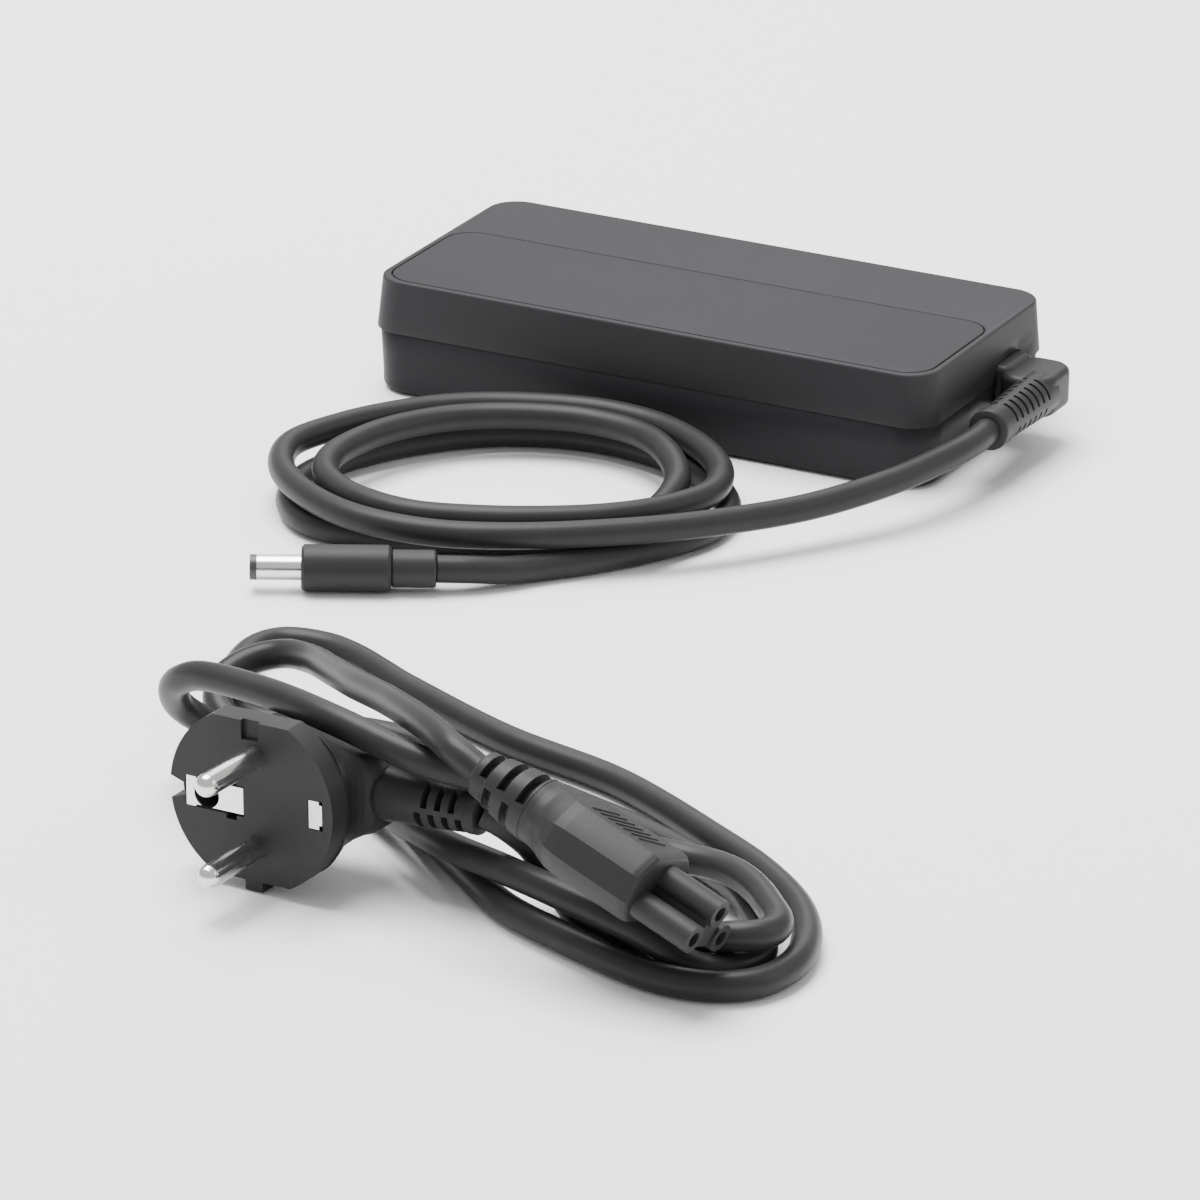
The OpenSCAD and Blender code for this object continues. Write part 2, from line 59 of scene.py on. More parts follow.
# camera place = centre + distance * backward - aside * right - above * up, looking along -backward
def placeCamera(s):
    az, el, roll = (math.radians(s[k]) for k in ("azimuth", "elevation", "roll"))
    back = Vector((math.sin(az) * math.cos(el), -math.cos(az) * math.cos(el), math.sin(el)))
    level = (-back).cross(Vector((0, 0, 1))).normalized()
    rise = level.cross(-back)
    right = math.cos(roll) * level + math.sin(roll) * rise
    up = math.cos(roll) * rise - math.sin(roll) * level
    data = bpy.data.cameras.new("viewCamera")
    data.lens = s["lens"]
    data.sensor_width = s["sensor"]
    data.clip_end = s["sees"]
    camera = bpy.data.objects.new("viewCamera", data)
    turn = Matrix((right, up, back)).transposed().to_4x4()
    place = back * s["distance"] - right * s["aside"] - up * s["above"]
    camera.matrix_world = Matrix.Translation(place) @ turn
    bpy.context.scene.collection.objects.link(camera)
    bpy.context.scene.camera = camera


placeCamera(shot)


# a mesh object from points and faces, smooth except where faces meet at more than the given angle
def meshObject(name, points, faces, sharpAbove=38):
    mesh = bpy.data.meshes.new(name)
    mesh.from_pydata(points.tolist(), [], faces)
    mesh.polygons.foreach_set("use_smooth", np.ones(len(mesh.polygons), bool))
    mesh.set_sharp_from_angle(angle=math.radians(sharpAbove))
    mesh.update()
    obj = bpy.data.objects.new(name, mesh)
    bpy.context.scene.collection.objects.link(obj)
    return obj


# rows of rings made one skin; each row runs counter-clockwise seen from where the rows go
def ringSkin(rows, lids=(True, True), keep=None):
    rows = np.asarray(rows, float)
    count, around = rows.shape[:2]
    i, j = np.meshgrid(np.arange(count - 1), np.arange(around), indexing="ij")
    k = (j + 1) % around
    quads = np.stack([i * around + j, i * around + k, (i + 1) * around + k, (i + 1) * around + j], -1)
    quads = quads.reshape(-1, 4)
    points = rows.reshape(-1, 3)
    if keep is not None:
        quads = quads[keep(points[quads].mean(1))]
    faces = quads.tolist()
    if lids[0]:
        faces.append(list(range(around))[::-1])
    if lids[1]:
        faces.append([(count - 1) * around + n for n in range(around)])
    return points, faces


# rounded rectangle, counter-clockwise seen from +Z; a corner is a round at soft = 1 and a chamfer at soft = 0
# ends lists extra places along the two short sides
def roundRect(w, d, r, z, n=12, soft=1.0, ends=()):
    out = []
    for q in range(4):
        a = np.radians(90 * q + np.linspace(0, 90, n + 1))
        t = np.linspace(0, 1, n + 1)[:, None]
        c = np.array([math.cos(math.pi / 2 * q), math.sin(math.pi / 2 * q)])
        e = np.array([-c[1], c[0]])
        arc = np.stack([np.cos(a), np.sin(a)], 1) * soft + (c * (1 - t) + e * t) * (1 - soft)
        sideX = 1 if q in (0, 3) else -1
        sideY = 1 if q < 2 else -1
        out.append(np.array([(w / 2 - r) * sideX, (d / 2 - r) * sideY]) + r * arc)
        if q == 1:
            out.append(np.array([[-w / 2, y] for y in sorted(ends, reverse=True)]).reshape(-1, 2))
        if q == 3:
            out.append(np.array([[w / 2, y] for y in sorted(ends)]).reshape(-1, 2))
    flat = np.concatenate(out)
    return np.column_stack([flat, np.full(len(flat), z)])


# smooth curve through every point, with an even step
# each span = half of (2 b + (c - a) t + bend t^2 + twist t^3), with t from 0 at point b to 1 at point c
def smoothPath(points, step):
    p = np.asarray(points, float)
    p = np.vstack([2 * p[0] - p[1], p, 2 * p[-1] - p[-2]])
    t = np.linspace(0, 1, 24, endpoint=False)[:, None]
    spans = []
    for a, b, c, d in zip(p[:-3], p[1:-2], p[2:-1], p[3:]):
        bend = 2 * a - 5 * b + 4 * c - d
        twist = 3 * b - a - 3 * c + d
        spans.append(0.5 * (2 * b + (c - a) * t + bend * t**2 + twist * t**3))
    fine = np.vstack(spans + [p[-2:-1]])
    far = np.concatenate([[0], np.cumsum(np.linalg.norm(np.diff(fine, axis=0), axis=1))])
    at = np.linspace(0, far[-1], int(far[-1] / step) + 1)
    return np.column_stack([np.interp(at, far, fine[:, k]) for k in range(3)]), far[-1]


# a round tube along a path: ring = path + radius * (side * cos(a) + up * sin(a))
# the side is level, so the tube never twists
def tubeRows(path, radius, around):
    ahead = np.gradient(path, axis=0)
    ahead /= np.linalg.norm(ahead, axis=1)[:, None]
    side = np.cross([0, 0, 1], ahead)
    side /= np.linalg.norm(side, axis=1)[:, None]
    up = np.cross(ahead, side)
    a = np.linspace(0, 2 * np.pi, around, endpoint=False)[None, :, None]
    return path[:, None] + radius * (np.cos(a) * side[:, None] + np.sin(a) * up[:, None])


# from a piece's own millimetres, +X along its axis, to the row frame in metres
def placed(points, origin, turns):
    m = np.eye(3)
    for axis, degrees in turns:
        m = np.array(Matrix.Rotation(math.radians(degrees), 3, axis)) @ m
    return (points @ m.T + np.array(origin)) * mm


# rings across +X from rings across +Z: x, y, z becomes z, x, y
def alongX(rows):
    rows = np.asarray(rows)
    return np.stack([rows[..., 2], rows[..., 0], rows[..., 1]], -1)


outputLead = {"diameter": 6.0, "around": 28, "step": 1.5, "route": [
    (79, -20.9, 13), (78.8, -29, 12.6), (76.5, -40, 12), (70.5, -56, 10.5), (59.5, -74.5, 9),
    (45, -94, 9.1), (30, -108, 9.1), (13, -120, 9.1), (-4, -127, 9.1), (-22, -127, 9.1),
    (-38, -120, 9.1), (-50.6, -108.3, 9.1), (-56.2, -94, 9.1), (-52.5, -79, 9.1), (-45.5, -66, 9.1),
    (-35.5, -54.5, 9.1), (-22, -46.5, 9.1), (-6, -42, 9.1), (10, -44, 9.1), (24, -52, 9.1),
    (34, -63, 9.1), (38, -76, 9.1), (34.5, -88, 9.1), (26, -99, 9.1), (14, -108, 9.1),
    (0, -115, 9.1), (-14, -118.8, 9.1), (-29, -115.8, 9.1), (-39.6, -108, 9.1), (-44.6, -97, 9.1),
    (-44, -84, 9.1), (-40, -72, 9.1), (-32, -61, 9.1), (-20, -53, 9.1), (-6, -48.8, 9.1),
    (8, -50.8, 9.1), (18.5, -58, 8.8), (26.5, -69, 7.7), (28, -80, 5.5), (25, -91, 3.2),
    (17, -101, 3), (6, -109, 3), (-8, -116, 3), (-22, -121, 3), (-36, -121, 3),
    # painted shade: the lowest turn's left end, from (-46, -113) to (-23, -48.8), lies a little wide so that
    # the dark cord also fills part of a gap between the turns that holds only shade
    (-46, -113, 3), (-51, -101, 3), (-50.5, -87.5, 3), (-44.5, -71.5, 3), (-34.5, -57.5, 3),
    (-23, -48.8, 3), (-8, -44, 3), (7, -45, 3), (21, -50.5, 3), (32, -59, 3),
    (39.5, -70.5, 3), (40.5, -84, 3), (35.5, -97, 3), (27.5, -109.5, 3), (19, -119.5, 3),
    (13.5, -127, 3.7), (8, -132.5, 4.7), (2.3, -136.3, 5.05)]}

mainsLead = {"diameter": 6.1, "around": 30, "step": 1.5, "route": [
    (89.2, -281.8, 20.3), (93, -280.5, 18.4), (97, -277, 13.5), (101, -276, 8),
    (106, -279, 4.6), (113, -283.8, 3.1), (122, -287.2, 3.1), (131, -288.4, 3.3),
    (137, -288.3, 4.8), (141.6, -288.6, 7.4), (146.5, -289.5, 9.4), (150.8, -287.4, 9.7),
    (152.4, -283, 9.5), (151, -278.2, 9.4), (147, -273.3, 9.4), (141.8, -267.6, 9.4),
    (135.4, -262.4, 9.3), (128.5, -258.9, 8.8), (121.5, -257.6, 8.3), (115, -258.5, 8.8),
    (108.8, -261.2, 11), (103, -266.3, 15), (97.5, -273, 21), (92, -279.5, 26),
    (76, -284, 29.7), (57, -280.5, 32.3), (38, -273, 31.8), (19, -266, 29.5),
    (11, -262.5, 26), (7, -258.5, 21.5), (5.5, -253, 16), (8, -247.5, 11),
    (14, -243.5, 6.8), (23, -242, 4), (33, -244.5, 3.1), (44, -250.5, 3.6),
    (54, -257.7, 5), (63, -265, 6.7), (79, -276.5, 9.2), (95, -282.5, 9.6),
    (113, -288.8, 9.3), (131, -294.4, 8), (138.3, -294.9, 4.9), (143.4, -293, 3.2),
    (147.3, -289, 3.1), (149.2, -282.5, 3.1), (146.3, -275, 3.1), (141, -266.5, 3.1),
    (128, -252.5, 3.1), (107, -241, 3.1), (82, -232, 3.1), (67, -228, 3.1),
    (52, -224, 3.1), (40, -220, 3.1), (29, -220, 3.1), (19, -223.5, 3.1),
    (11, -225, 3.1), (4, -223, 3.1), (-2.5, -216.5, 3.1), (-7.5, -208, 3.1),
    (-11, -198, 3.1), (-11.5, -189.5, 3.1), (-8, -183.8, 3.1), (0.6, -182.4, 3.1),
    (9.4, -185.2, 3.1), (18, -190, 3.1), (28, -195.6, 3.1), (57, -209.3, 3.1),
    (88, -218.9, 3.1), (119, -236.5, 3.1), (134, -246.6, 3.1), (146, -258, 3.1),
    (153.5, -270.2, 3.1), (156.6, -282.3, 3.1), (154.8, -292.8, 3.1), (149, -298.5, 3.1),
    (141, -300.8, 3.1), (130.5, -299.5, 3.1), (112.5, -292.6, 3.1), (95, -284.5, 3.1),
    (78, -270.5, 3.1), (51, -247, 3.1), (40, -240, 3.1), (29, -236, 3.1),
    (18, -235, 3.3), (8, -234, 4.8), (1, -229.5, 7.2), (-1.5, -222.5, 9.8),
    (1.5, -216, 12), (8, -213.5, 13.8), (17, -218.5, 16), (28, -230.5, 20),
    (41, -245, 24.8), (55, -259, 29.5), (68, -272.5, 33.5), (79, -283.5, 36),
    (87, -290.5, 36.4), (94.5, -293, 34)]}


# a cord's mesh, its path and its length; the path stays one radius above the table
def makeCord(name, c):
    path, length = smoothPath(np.array(c["route"]) * mm, c["step"] * mm)
    radius = c["diameter"] / 2 * mm
    path[:, 2] = np.maximum(path[:, 2], radius)
    points, faces = ringSkin(tubeRows(path, radius, c["around"]))
    return meshObject(name, points, faces), path, length


outputCord, outputPath, outputLength = makeCord("outputCord", outputLead)
mainsCord, mainsPath, mainsLength = makeCord("mainsCord", mainsLead)
print("cords", round(outputLength, 3), round(mainsLength, 3))

shellLow, shellHigh = (np.array(v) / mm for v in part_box("upper_shell"))
inlayLow, inlayHigh = (np.array(v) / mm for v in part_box("top_inlay"))

case = {
    "long": shellHigh[0] - shellLow[0], "deep": shellHigh[1] - shellLow[1], "top": shellHigh[2], "seam": 14.8,
    "upperRadius": 7.5, "lean": 0.8, "edge": 0.6,
    "upperRim": ((0.25, 7.3, 0), (0.05, 7.45, 0.08), (0, 7.5, 0.3)),    # how far in, corner, how far up
    "recessRadius": 7, "recessGap": 0.3,
    "recessRim": ((0.28, 0), (0.08, 0.08), (0, 0.3)),                   # how far out, how far down
    "lowerRadius": 9, "lowerInset": 0.75, "lowerLean": 0.6, "rimDrop": 0.2,
    "lowerRim": ((0.3, 9), (2.6, 7)),                                   # how far in, corner
    "foot": 1.9, "footTighter": 0.3, "sole": 1.4,
    "inletY": 11, "inletZ": (5, 22), "neckY": (3.9, 17.1), "neckZ": (9.5, 18.8), "endsFrom": 60,
    "wall": 0.6, "steps": 14,
}
inlay = {"radius": 6.7, "rim": ((0, 0.2), (0.06, 0.06), (0.2, 0))}        # how far in, how far down
endPlaces = (-case["inletY"], case["neckY"][0], case["inletY"], case["neckY"][1])   # the windows' sides


# false for the faces where the inlet and the elbow pass through the wall
def outsideWindows(centres):
    x, y, z = centres.T / mm
    (y0, y1), (z0, z1), (low, high) = case["neckY"], case["neckZ"], case["inletZ"]
    inlet = (x < -case["endsFrom"]) & (abs(y) < case["inletY"]) & (z > low) & (z < high)
    neck = (x > case["endsFrom"]) & (y > y0) & (y < y1) & (z > z0) & (z < z1)
    return ~(inlet | neck)


def caseRing(inset, radius, z):
    size = (case["long"] - 2 * inset, case["deep"] - 2 * inset)
    return roundRect(*size, radius, z, case["steps"], ends=endPlaces)


# a shell's mesh, with a thin wall behind its skin
def makeShell(name, rows, lids):
    points, faces = ringSkin(np.array(rows) * mm, lids, outsideWindows)
    obj = meshObject(name, points, faces, sharpAbove=50)
    wall = obj.modifiers.new("wall", "SOLIDIFY")
    wall.thickness = case["wall"] * mm
    wall.offset = -1
    return obj


# a ring of the recess in the lid; its extra places stay off the round corners
def recessRing(grow, z):
    size = inlayHigh - inlayLow + 2 * case["recessGap"]
    middle = (inlayHigh + inlayLow)[1] / 2
    corner = case["recessRadius"]
    ring = roundRect(size[0] + 2 * grow, size[1] + 2 * grow, corner + grow, z, case["steps"], ends=endPlaces)
    ring[:, 1] += middle
    onEnd = np.abs(ring[:, 0]) > size[0] / 2 + grow - 0.001
    ring[onEnd, 1] = np.clip(ring[onEnd, 1], middle - size[1] / 2 + corner, middle + size[1] / 2 - corner)
    return ring


# the side's inset grows from 0 at the seam to the lean at the edge, where a quarter round leads onto the lid
def makeUpperCase():
    seam, top, e, r = case["seam"], case["top"], case["edge"], case["upperRadius"]
    rows = [caseRing(inset, corner, seam + up) for inset, corner, up in case["upperRim"]]
    for z in (case["neckZ"][1], case["inletZ"][1], top - e):
        rows.append(caseRing(case["lean"] * (z - seam) / (top - e - seam), r, z))
    for a in np.radians(np.linspace(12, 90, 8)):
        inset = e * (1 - math.cos(a))
        rows.append(caseRing(case["lean"] + inset, r - inset, top - e + e * math.sin(a)))
    rows += [recessRing(grow, top - down) for grow, down in case["recessRim"]]
    rows.append(recessRing(0, inlayLow[2]))
    return makeShell("upperCase", rows, (False, True))


# a quarter round leads up from the sole, and the side's inset shrinks from there to the seam
def makeLowerCase():
    seam, f, r, inset = case["seam"], case["foot"], case["lowerRadius"], case["lowerInset"]
    rows = [caseRing(f + case["sole"], r - f, 0)]
    for a in np.radians(np.linspace(10, 90, 8)):
        more = f * (1 - math.sin(a))
        rows.append(caseRing(inset + more, r - case["footTighter"] - more, f * (1 - math.cos(a))))
    for z in (case["inletZ"][0], case["neckZ"][0], seam - case["rimDrop"]):
        rows.append(caseRing(inset - case["lowerLean"] * (z - f) / (seam - f), r, z))
    rows += [caseRing(rimInset, corner, seam) for rimInset, corner in case["lowerRim"]]
    return makeShell("lowerCase", rows, (True, False))


# a thin plate with a small round along its top edge
def makeInlay():
    size = inlayHigh - inlayLow
    top = inlayHigh[2]
    rows = []
    for inset, z in [(0, inlayLow[2])] + [(s, top - down) for s, down in inlay["rim"]]:
        ring = roundRect(size[0] - 2 * inset, size[1] - 2 * inset, inlay["radius"] - inset, z, case["steps"])
        ring[:, 1] += (inlayHigh + inlayLow)[1] / 2
        rows.append(ring)
    points, faces = ringSkin(np.array(rows) * mm)
    return meshObject("inlayPlate", points, faces, sharpAbove=50)


upperCase, lowerCase, inlayPlate = makeUpperCase(), makeLowerCase(), makeInlay()
print("brick")


# a row of slots, each (start, width, lowest, highest angle from the top)
def slotRow(first, pitch, count, width, lowest, highest):
    return [(first + pitch * k, width, lowest, highest) for k in range(count)]


# a round sleeve along +X: radius at x from the profile, less depth inside each slot
# a slot's end walls lean over a short run
def sleeveRows(profile, slots, depth, around=112):
    run = 0.07
    at = np.array([p[0] for p in profile], float)
    edges = [s[0] + k for s in slots for k in (-run, run, s[1] - run, s[1] + run)]
    x = np.unique(np.concatenate([np.linspace(at[0], at[-1], 60), at, edges]))
    x = x[(x >= at[0]) & (x <= at[-1])]
    a = np.linspace(0, 360, around, endpoint=False)
    fromTop = (a - 90 + 180) % 360 - 180
    radius = np.repeat(np.interp(x, at, [p[1] for p in profile])[:, None], around, 1)
    for start, width, lowest, highest in slots:
        inX = (x > start) & (x < start + width)
        inA = (np.abs(fromTop) >= lowest) & (np.abs(fromTop) <= highest)
        radius[np.ix_(inX, inA)] -= depth
    c, s = np.cos(np.radians(a)), np.sin(np.radians(a))
    return np.stack([np.repeat(x[:, None], around, 1), radius * c, radius * s], -1)


def makeSleeve(name, s):
    rows = sleeveRows(s["profile"], s["slots"], s["depth"])
    points, faces = ringSkin(placed(rows, s["origin"], s["turns"]))
    return meshObject(name, points, faces, sharpAbove=40)


# each profile lists (place, radius)
elbowSleeve = {
    "origin": (79, 8, 13), "turns": (("Z", -90),), "depth": 1.5,
    "profile": (
        (0, 4.6), (0.4, 5.05), (4, 5.05), (24.6, 4.35), (24.9, 4.75),
        (28.2, 4.75), (28.6, 4.65), (28.85, 4.35), (28.9, 3)),
    "slots": slotRow(5.6, 2.7, 7, 0.8, 12, 78) + slotRow(6.9, 2.7, 6, 0.8, 102, 168),
}
tailSleeve = {
    "origin": (67.79, -280.15, 19.61), "turns": (("Y", -1.4), ("Z", -4.1)), "depth": 2.0,
    "profile": (
        (-0.6, 5.5), (0, 5.6), (10, 4.95), (19.2, 4.3),
        (19.4, 4.45), (21, 4.4), (21.4, 4.2), (21.5, 3)),
    "slots": slotRow(8.4, 3, 4, 1.3, 98, 160) + slotRow(9.9, 3, 3, 1.3, 20, 82),
}
bootSleeve = {
    "origin": (94.5, -293, 34), "turns": (("X", -20), ("Y", 17.4), ("Z", -9.7)), "depth": 1.9,
    "profile": ((0, 3.4), (0.1, 4.4), (0.5, 4.7), (3.6, 5.1), (4.2, 5.5), (10, 6.4), (14.5, 6.8)),
    "slots": slotRow(2.0, 5, 3, 1.9, 0, 82) + slotRow(4.5, 5, 2, 1.9, 98, 180),
}

elbowBoot = makeSleeve("elbowBoot", elbowSleeve)
plugTail = makeSleeve("plugTail", tailSleeve)
connectorBoot = makeSleeve("connectorBoot", bootSleeve)

# neckEnd lists rings, each (how far back from the end, how far in)
elbow = {
    "centre": (76.8, 9.8), "size": (13.2, 16.2), "radius": 5, "bottom": 8.4, "top": 17.7, "round": 1.6,
    "neckX": (65, 73.5), "neckY": (4, 17), "neckZ": (9.6, 18.7), "neckRadius": 1.6,
    "neckEnd": ((2.2, 0), (0.6, 0.5), (0, 1.4)),
}


# a block with rounded corners in plan and a quarter round along its top and bottom edges
def makeElbowBody():
    e = elbow["round"]
    middle = (elbow["bottom"] + elbow["top"]) / 2
    half = (elbow["top"] - elbow["bottom"]) / 2
    rows = []
    for side, angles in ((-1, np.linspace(-90, 0, 8)), (1, np.linspace(0, 90, 8))):
        for a in np.radians(angles):
            inset = e * (1 - math.cos(a))
            z = middle + side * (half - e) + e * math.sin(a)
            w, d = (size - 2 * inset for size in elbow["size"])
            rows.append(roundRect(w, d, elbow["radius"] - inset, z, n=12))
    points, faces = ringSkin((np.array(rows) + [*elbow["centre"], 0]) * mm)
    return meshObject("elbowBody", points, faces, sharpAbove=50)


# the neck that the two shells hold, with rounded corners across X
def makeElbowNeck():
    (y0, y1), (z0, z1), (x0, x1) = elbow["neckY"], elbow["neckZ"], elbow["neckX"]
    rings = [(x0, 0)] + [(x1 - back, inset) for back, inset in elbow["neckEnd"]]
    rows = [roundRect(y1 - y0 - 2 * s, z1 - z0 - 2 * s, elbow["neckRadius"], x, n=8) for x, s in rings]
    rows = alongX(rows) + [0, (y0 + y1) / 2, (z0 + z1) / 2]
    points, faces = ringSkin(rows * mm)
    return meshObject("elbowNeck", points, faces, sharpAbove=50)


elbowBody, elbowNeck = makeElbowBody(), makeElbowNeck()


# a table of sections with even steps filled in: straight lines between its rows
def fillSections(piece):
    s = np.array(piece["sections"])
    places = np.unique(np.concatenate([np.linspace(s[0, 0], s[-1, 0], piece["steps"]), s[:, 0]]))
    return np.column_stack([places] + [np.interp(places, s[:, 0], column) for column in s.T[1:]])


# each section is (place, width, height, corner, softness)
connector = {
    "origin": bootSleeve["origin"], "turns": bootSleeve["turns"], "steps": 40,
    "sections": (
        (14.4, 13.4, 13.4, 6.7, 1), (16, 13.9, 13.4, 6.5, 0.85), (18, 15.2, 13.6, 5.9, 0.6),
        (20.5, 17.8, 14, 5.2, 0.4), (23, 20, 14.4, 4.8, 0.28), (25.5, 20.9, 14.5, 4.6, 0.22),
        (30, 21, 14.5, 4.5, 0.2), (42.6, 21, 14.5, 4.5, 0.2), (43.7, 20.5, 14.1, 4.3, 0.2),
        (44.1, 19.9, 13.6, 4.2, 0.2), (44.3, 19, 12.8, 4, 0.2)),
}


# rounded sections along X, from a round end to a body with cut corners
def makeConnectorBody():
    rows = [roundRect(w, h, r, x, n=10, soft=soft) for x, w, h, r, soft in fillSections(connector)]
    points, faces = ringSkin(placed(alongX(rows), connector["origin"], connector["turns"]))
    return meshObject("connectorShell", points, faces, sharpAbove=26)


# levels are (how far in, height), and the ribs slant by skew millimetres along for each millimetre across
ribs = {
    "count": 7, "first": 27, "pitch": 1.9, "size": (0.9, 6.4), "radius": 0.4, "skew": 0.42,
    "levels": ((0, 6.9), (0, 7.35), (0.1, 7.5), (0.3, 7.55)),
}


# slanted grip ribs on the top of the connector, each a long low pad
def makeGripRibs():
    points, faces = [], []
    w, d = ribs["size"]
    for n in range(ribs["count"]):
        rows = [roundRect(w - 2 * s, d - 2 * s, ribs["radius"] - s, z, n=4) for s, z in ribs["levels"]]
        rows = np.array(rows)
        rows[..., 0] += ribs["skew"] * rows[..., 1] + ribs["first"] + ribs["pitch"] * n
        p, f = ringSkin(placed(rows, connector["origin"], connector["turns"]))
        before = sum(len(q) for q in points)
        faces += [[k + before for k in g] for g in f]
        points.append(p)
    return meshObject("gripRibs", np.vstack(points), faces, sharpAbove=40)


connectorShell, gripRibs = makeConnectorBody(), makeGripRibs()

# each section is (depth behind the face, width, height, corner, shift to the side)
plugBack = {
    "origin": (45.6, -296.1, 19.1), "turns": (("Y", -1.4), ("Z", -4.1)), "steps": 30,
    "sections": (
        (5.5, 36.4, 32.8, 13, 0), (7, 36.2, 31, 12.5, 0), (8.5, 35.7, 28, 11.4, 0), (10, 35, 24, 9, 0.6),
        (11.5, 34.4, 20, 6.4, 1.6), (13, 34, 17.3, 4.6, 3), (15, 34, 17, 4, 4), (24.2, 34, 17, 4, 4),
        (25.2, 33.4, 16.4, 3.8, 4), (26, 32, 15, 3.5, 4), (26.4, 29.5, 12.5, 3, 4)),
}


# sections one behind the other, from the round face to a flat grip that stands to one side
def makePlugBack():
    rows = [roundRect(w, h, r, y, n=12) + [shift, 0, 0] for y, w, h, r, shift in fillSections(plugBack)]
    rows = np.array(rows)[..., [0, 2, 1]] * [1, 1, -1]
    points, faces = ringSkin(placed(rows, plugBack["origin"], plugBack["turns"]))
    return meshObject("plugBack", points, faces, sharpAbove=40)


plugRear = makePlugBack()
print("mouldings")


def node(tree, kind, **values):
    n = tree.nodes.new(kind)
    for key, value in values.items():
        n.inputs[key].default_value = value
    return n


# a cloud of noise, which stays put on its piece
def noise(tree, scale, detail, rough):
    place = tree.nodes.new("ShaderNodeTexCoord")
    cloud = node(tree, "ShaderNodeTexNoise", Scale=scale, Detail=detail, Roughness=rough)
    tree.links.new(place.outputs["Object"], cloud.inputs["Vector"])
    return cloud.outputs["Fac"]


# a value from start to end, stretched to run from low to high
def stretch(tree, value, start, end, low, high):
    limits = {"From Min": start, "From Max": end, "To Min": low, "To Max": high}
    result = node(tree, "ShaderNodeMapRange", **limits)
    tree.links.new(value, result.inputs["Value"])
    return result.outputs["Result"]


# the surface's direction with a bump of so many millimetres, on top of the bump under it
def bump(tree, height, depth, under=None):
    result = node(tree, "ShaderNodeBump", Strength=1.0, Distance=depth * mm)
    tree.links.new(height, result.inputs["Height"])
    if under:
        tree.links.new(under, result.inputs["Normal"])
    return result.outputs["Normal"]


cloudRange = (0.3, 0.7)     # where most of a cloud's values lie
edgeRange = (0.52, 0.62)    # how pointed a convex edge is, from just worn to fully worn
paler = 2.2                 # how many times paler a worn edge can be


# colour = base * (1 - mottle .. 1 + mottle) by a broad cloud
def mottled(tree, base, mottle, cloud):
    ramp = tree.nodes.new("ShaderNodeValToRGB")
    first, last = ramp.color_ramp.elements
    first.position, last.position = cloudRange
    first.color = (*(base * (1 - mottle)), 1)
    last.color = (*np.minimum(base * (1 + mottle), 1), 1)
    tree.links.new(noise(tree, cloud, 4.0, 0.6), ramp.inputs["Fac"])
    return ramp.outputs["Color"]


# colour = colour + wear * (paler * base - colour) on convex edges
def worn(tree, colour, base, wear):
    geometry = tree.nodes.new("ShaderNodeNewGeometry")
    mix = tree.nodes.new("ShaderNodeMix")
    mix.data_type = "RGBA"
    mix.inputs["B"].default_value = (*np.minimum(base * paler, 1), 1)
    edge = stretch(tree, geometry.outputs["Pointiness"], *edgeRange, 0, wear)
    tree.links.new(edge, mix.inputs["Factor"])
    tree.links.new(colour, mix.inputs["A"])
    return mix.outputs["Result"]


# roughness = rough +- spread by a fine cloud; height = fine grain + broad ripple
def surface(slotName, rough, metal=0.0, grain=2600, depth=0.02, mottle=0.1, spread=0.06, cloud=60,
            wear=0.0, ripple=0.0, shine=0.5):
    entry = next(m for m in record["materials"] if m["slot"] == slotName)
    base = np.array(entry["base_color"][:3])
    m = bpy.data.materials.new(slotName)
    m.use_nodes = True
    tree = m.node_tree
    shader = tree.nodes["Principled BSDF"]
    colour = mottled(tree, base, mottle, cloud)
    if wear:
        colour = worn(tree, colour, base, wear)
    fine = noise(tree, grain, 3.0, 0.65)
    height = bump(tree, fine, depth)
    if ripple:
        height = bump(tree, noise(tree, cloud * 1.5, 2.0, 0.5), ripple, height)
    tree.links.new(colour, shader.inputs["Base Color"])
    patches = stretch(tree, fine, *cloudRange, rough - spread, rough + spread)
    tree.links.new(patches, shader.inputs["Roughness"])
    tree.links.new(height, shader.inputs["Normal"])
    shader.inputs["Metallic"].default_value = metal
    shader.inputs["Specular IOR Level"].default_value = shine
    return m


looks = {
    "upper_housing": {"rough": 0.5, "depth": 0.012, "mottle": 0.04, "wear": 0.25, "cloud": 25, "shine": 0.1},
    "lower_housing": {"rough": 0.42, "depth": 0.012, "mottle": 0.05, "wear": 0.2, "cloud": 25, "shine": 0.1},
    "inlay": {"rough": 0.52, "depth": 0.008, "mottle": 0.03, "cloud": 25, "shine": 0.1},
    "label": {"rough": 0.35, "depth": 0.004, "mottle": 0.03},
    "lead_moulding": {"rough": 0.42, "depth": 0.012, "mottle": 0.08, "wear": 0.2, "shine": 0.15},
    "output_cord": {"rough": 0.4, "depth": 0.008, "mottle": 0.1, "ripple": 0.08, "cloud": 90, "shine": 0.15},
    "mains_cord_sheath": {
        "rough": 0.36, "depth": 0.008, "mottle": 0.12, "ripple": 0.1, "cloud": 70, "shine": 0.15},
    "plug_moulding": {"rough": 0.45, "depth": 0.015, "mottle": 0.1, "wear": 0.2, "shine": 0.15},
    "connector_moulding": {"rough": 0.42, "depth": 0.012, "mottle": 0.1, "wear": 0.2, "shine": 0.15},
    "tip_plastic": {"rough": 0.4, "depth": 0.006},
    "plated_contact": {"rough": 0.22, "metal": 1.0, "depth": 0.003, "mottle": 0.05, "spread": 0.05},
    "pin_metal": {"rough": 0.2, "metal": 1.0, "depth": 0.003, "mottle": 0.06, "spread": 0.06},
    "earth_metal": {"rough": 0.35, "metal": 1.0, "depth": 0.004, "mottle": 0.06},
    "brass_contact": {"rough": 0.3, "metal": 1.0, "depth": 0.003},
    "spreader_plate": {"rough": 0.4, "metal": 1.0, "depth": 0.006},
    "heatsink_metal": {"rough": 0.45, "metal": 1.0, "depth": 0.006},
}
plain = {"rough": 0.5, "depth": 0.01, "mottle": 0.12}
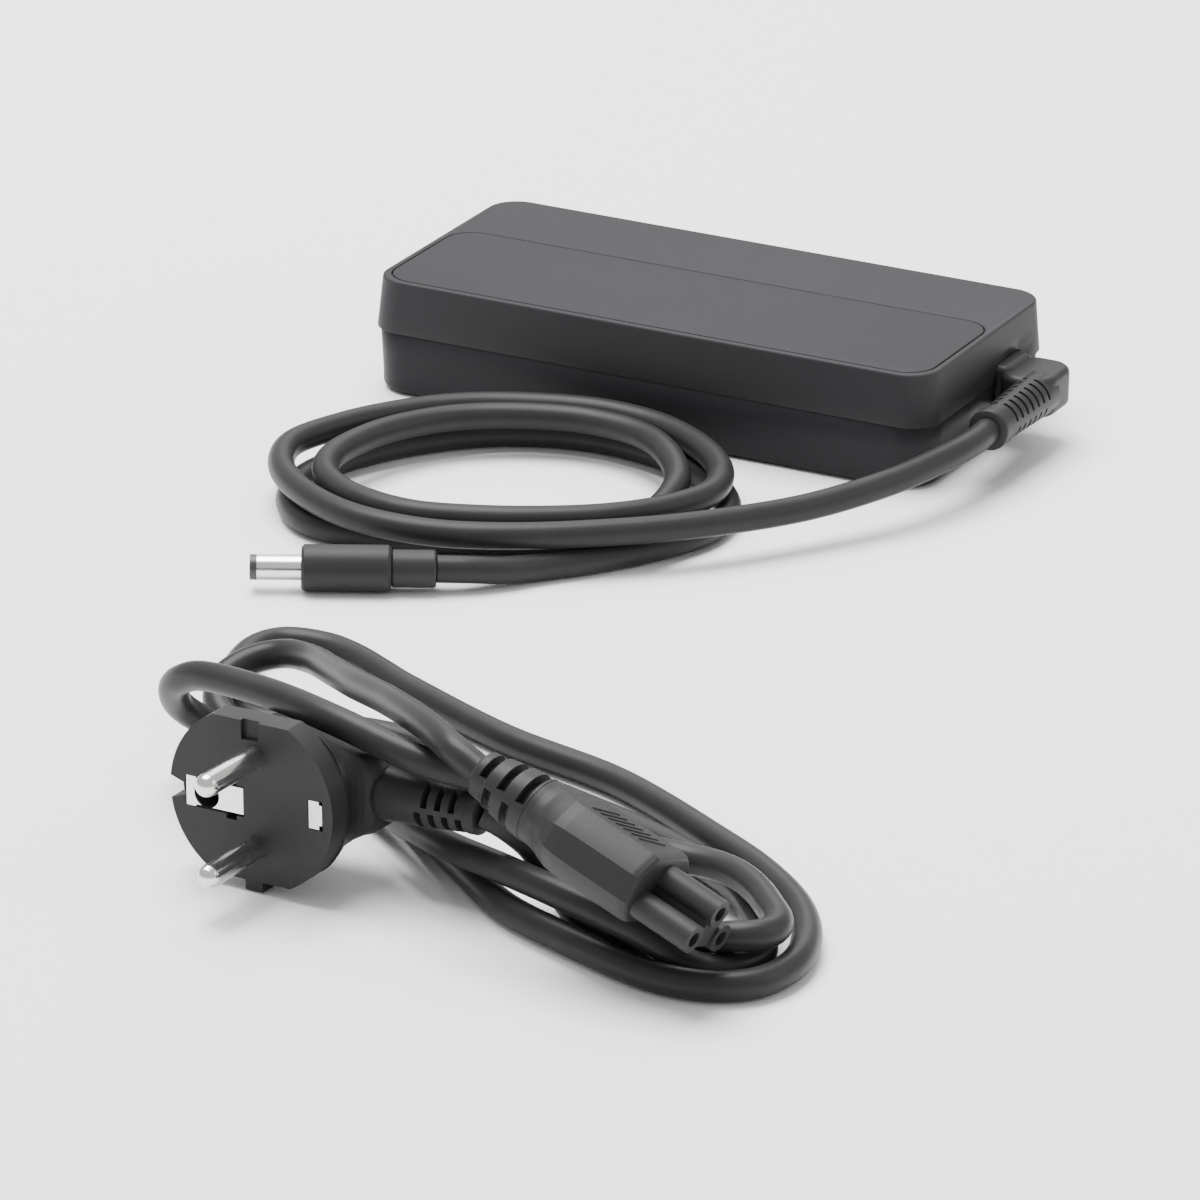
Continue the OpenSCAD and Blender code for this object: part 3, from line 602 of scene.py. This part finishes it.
paint = {m["slot"]: surface(m["slot"], **looks.get(m["slot"], plain)) for m in record["materials"]}
for part in record["subparts"]:
    mesh = frame["nodes"][part["node"]].data
    mesh.materials.clear()
    mesh.materials.append(paint[part["material_slot"]])

# piece, body, finish, and the part it stands for
madePieces = [
    (upperCase, "brick", "upper_housing", "upper_shell"),
    (lowerCase, "brick", "lower_housing", "lower_shell"),
    (inlayPlate, "brick", "inlay", "top_inlay"),
    (outputCord, "brick", "output_cord", "dc_cord"),
    (elbowBody, "brick", "lead_moulding", "dc_elbow"),
    (elbowNeck, "brick", "lead_moulding", "dc_elbow"),
    (elbowBoot, "brick", "lead_moulding", "dc_elbow"),
    (plugRear, "mains_lead", "plug_moulding", "mains_plug_back"),
    (plugTail, "mains_lead", "plug_moulding", "mains_tail"),
    (mainsCord, "mains_lead", "mains_cord_sheath", "mains_cord"),
    (connectorBoot, "mains_lead", "connector_moulding", "connector_boot"),
    (connectorShell, "mains_lead", "connector_moulding", "connector_body"),
    (gripRibs, "mains_lead", "connector_moulding", "connector_body"),
]
for piece, body, slotName, standsFor in madePieces:
    piece.data.materials.append(paint[slotName])
    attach(piece, body)
    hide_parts(standsFor)

# the table's size, how far it lies below the pieces and its finish, the sky's strength,
# and each lamp's name, place, size and power
studio = {
    "floor": 6.0, "gap": 0.0002, "pale": 0.93, "rough": 0.7, "sky": 0.8,
    "lamps": (
        ("overhead", (-0.5, 0.1, 2.0), 1.6, 125),
        ("behind", (-0.5, 1.5, 1.4), 1.2, 12),
        ("side", (1.6, 0.3, 0.8), 1.0, 6)),
}


def makeStudio(s):
    half = s["floor"] / 2
    corners = ((-half, -half), (half, -half), (half, half), (-half, half))
    points = np.array([(x, y, -s["gap"]) for x, y in corners])
    floor = meshObject("table", points, [[0, 1, 2, 3]])
    m = bpy.data.materials.new("paleTable")
    m.use_nodes = True
    shader = m.node_tree.nodes["Principled BSDF"]
    shader.inputs["Base Color"].default_value = (s["pale"], s["pale"], s["pale"], 1)
    shader.inputs["Roughness"].default_value = s["rough"]
    floor.data.materials.append(m)
    world = bpy.data.worlds.new("studioSky")
    world.use_nodes = True
    sky = world.node_tree.nodes["Background"]
    sky.inputs["Color"].default_value = (1, 1, 1, 1)
    sky.inputs["Strength"].default_value = s["sky"]
    bpy.context.scene.world = world
    for name, place, size, power in s["lamps"]:
        data = bpy.data.lights.new(name, "AREA")
        data.size = size
        data.energy = power
        lamp = bpy.data.objects.new(name, data)
        lamp.location = place
        lamp.rotation_euler = (-Vector(place)).to_track_quat("-Z", "Y").to_euler()
        bpy.context.scene.collection.objects.link(lamp)


makeStudio(studio)
print("studio")
